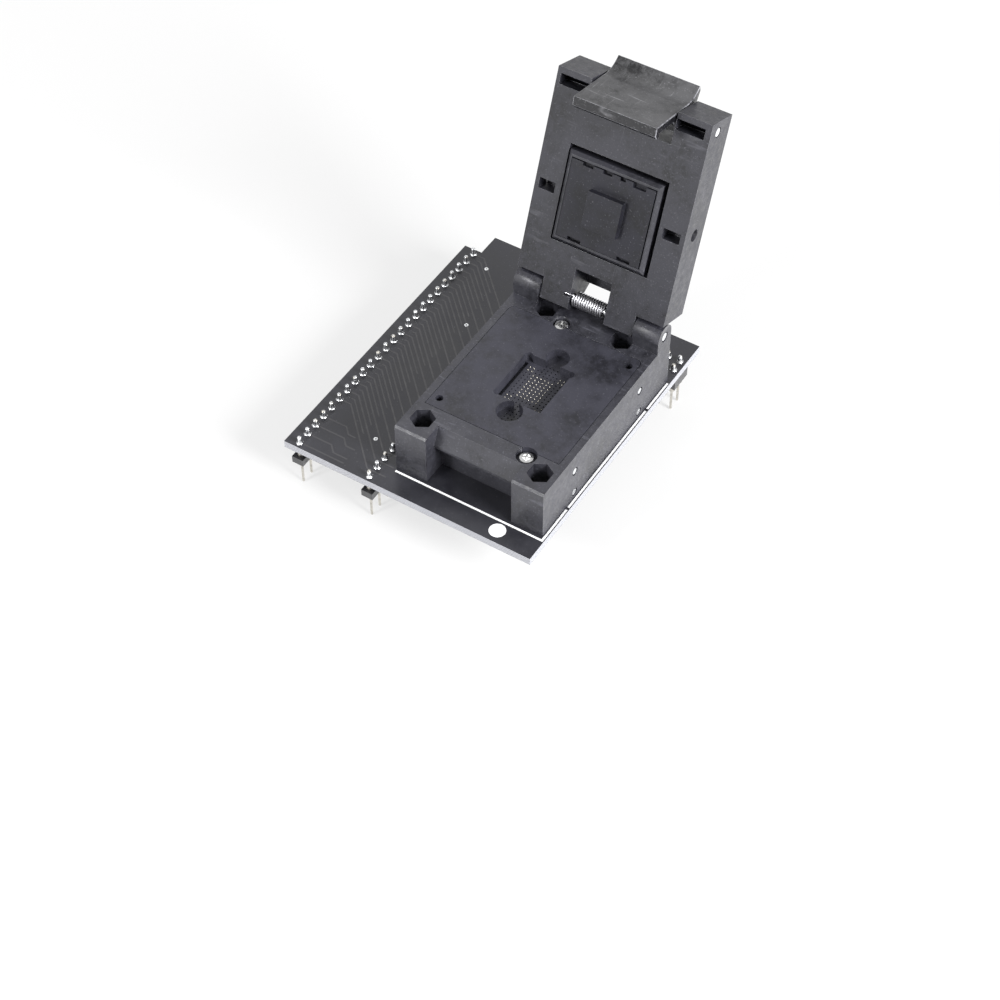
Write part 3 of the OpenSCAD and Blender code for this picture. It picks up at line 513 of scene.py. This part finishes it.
def tracks():
    """Copper tracks under the mask: out of the left row, down at 45 degrees, and on past the right row."""
    mesh = bmesh.new()
    low, high = BOARD_TOP - 0.01, BOARD_TOP + 0.02
    bend = -5.15
    for i in range(5, ROW_PINS):
        y = row_y(i)
        fall = 4.5 * PITCH
        ribbon(mesh, [(0.9 - ROW_GAP / 2, y), (bend, y), (bend + fall, y - fall), (10.3, y - fall)],
               0.3, low, high)
    for i in range(5, ROW_PINS - 1):
        y = row_y(i) + PITCH / 2
        ribbon(mesh, [(-5.9, y), (bend, y), (bend + 6.2, y - 6.2)], 0.26, low, high)
    for i, reach, end in ((0, 2.0, 2.0), (1, -2.4, 2.0), (2, -1.4, 2.0), (3, -2.6, 0.4)):
        y = row_y(i)
        path = [(-6.7, y), (reach, y)]
        if i:
            path += [(reach + 1.4, y - 1.4), (end, y - 1.4)]
        ribbon(mesh, path, 0.3, low, high)
    made = piece_of("tracks", finished(mesh, "tracks"), track_finish, "board_and_base", smooth=False)


def printed_lines():
    mesh = bmesh.new()
    low, high = BOARD_TOP - 0.01, BOARD_TOP + 0.03
    corner = (41.65, -25.75)
    ribbon(mesh, [(10.92, corner[1]), corner, (corner[0], -17.4)], 0.4, low, high)
    ribbon(mesh, [(corner[0], -16.8), (corner[0], 10.6)], 0.4, low, high)
    ribbon(mesh, [(corner[0], 11.2), (corner[0], 18.84)], 0.4, low, high)
    # The round mark for the first pin
    around = 48
    dot_x, dot_y, dot_r = 33.82, -27.9, 1.55
    rim = [(dot_x + dot_r * math.cos(2 * math.pi * k / around),
            dot_y + dot_r * math.sin(2 * math.pi * k / around)) for k in range(around)]
    top = [mesh.verts.new((x * MM, y * MM, high * MM)) for x, y in rim]
    bottom = [mesh.verts.new((x * MM, y * MM, low * MM)) for x, y in rim]
    mesh.faces.new(top)
    mesh.faces.new(bottom[::-1])
    for k in range(around):
        j = (k + 1) % around
        mesh.faces.new((bottom[k], bottom[j], top[j], top[k]))
    made = piece_of("printed_marks", finished(mesh, "printed_marks"), ink, "board_and_base", smooth=False)


def small_holes():
    """Tented plated holes: a low ring of mask over copper round a closed centre."""
    mesh = bmesh.new()
    spots = [(3.58, -21.24), (-3.2, 27.0), (1.8, 12.0)]
    around = 20
    profile = [(0.44, -0.01), (0.42, 0.035), (0.3, 0.045), (0.2, 0.03), (0.12, 0.0)]
    for x, y in spots:
        rings = []
        for r, h in profile:
            rings.append([mesh.verts.new(((x + r * math.cos(2 * math.pi * k / around)) * MM,
                                          (y + r * math.sin(2 * math.pi * k / around)) * MM,
                                          (BOARD_TOP + h) * MM)) for k in range(around)])
        for low, high in zip(rings, rings[1:]):
            for k in range(around):
                j = (k + 1) % around
                mesh.faces.new((low[k], low[j], high[j], high[k]))
        mesh.faces.new(rings[-1])
        mesh.faces.new(rings[0][::-1])
    made = piece_of("plated_holes", finished(mesh, "plated_holes"), solder, "board_and_base")


hinge_coil()
latch_coil()
solder_fillets()
tracks()
printed_lines()
small_holes()


# ---------------------------------------------------------------- floor and light
def studio():
    mesh = bpy.data.meshes.new("floor")
    mesh.from_pydata([(-3, -3, 0), (3, -3, 0), (3, 3, 0), (-3, 3, 0)], [], [(0, 1, 2, 3)])
    floor = bpy.data.objects.new("floor", mesh)
    bpy.context.scene.collection.objects.link(floor)
    pale = bpy.data.materials.new("pale_floor")
    pale.use_nodes = True
    pale.node_tree.nodes.clear()
    seen = add(pale, "LightPath")
    paint_coat = add(pale, "BsdfDiffuse", {"Color": linear("#e8e8e8")})
    glow = between(pale, seen.outputs["Is Glossy Ray"], 0, 1, 1.0, 1.8)
    white = add(pale, "Emission", {"Color": (1, 1, 1, 1), "Strength": glow})
    rays = add(pale, "Math", {0: seen.outputs["Is Glossy Ray"], 1: seen.outputs["Is Transmission Ray"]},
               operation="MAXIMUM")
    view = times(pale, seen.outputs["Is Camera Ray"], 0.66)
    share = add(pale, "Math", {0: rays.outputs[0], 1: view}, operation="MAXIMUM").outputs[0]
    mixed = add(pale, "MixShader", {0: share, 1: paint_coat.outputs[0], 2: white.outputs[0]})
    add(pale, "OutputMaterial", {"Surface": mixed.outputs[0]})
    mesh.materials.append(pale)

    world = bpy.data.worlds.new("studio")
    bpy.context.scene.world = world
    world.use_nodes = True
    world.node_tree.nodes.clear()
    seen = add(world, "LightPath")
    rays = add(world, "Math", {0: seen.outputs["Is Camera Ray"], 1: seen.outputs["Is Glossy Ray"]},
               operation="MAXIMUM")
    rays = add(world, "Math", {0: rays.outputs[0], 1: seen.outputs["Is Transmission Ray"]},
               operation="MAXIMUM")
    strength = between(world, rays.outputs[0], 0, 1, 0.4, 0.78)
    sky = add(world, "Background", {"Color": (1, 1, 1, 1), "Strength": strength})
    add(world, "OutputWorld", {"Surface": sky.outputs[0]})

    def lamp(name, spot, aim, size, power):
        data = bpy.data.lights.new(name, "AREA")
        data.shape = "DISK"
        data.size = size
        data.energy = power
        made = bpy.data.objects.new(name, data)
        bpy.context.scene.collection.objects.link(made)
        made.location = spot
        made.rotation_euler = (Vector(aim) - Vector(spot)).to_track_quat("-Z", "Y").to_euler()

    lamp("key", (0.74, -0.08, 0.42), (0.02, 0, 0.02), 0.35, 11.5)
    lamp("back", (-0.3, 0.47, 0.66), (0.02, 0, 0.02), 0.3, 0.5)
    lamp("front", (-0.31, -0.71, 0.45), (0.02, 0, 0.02), 0.2, 4.8)


studio()
bpy.context.scene.view_settings.view_transform = "Standard"
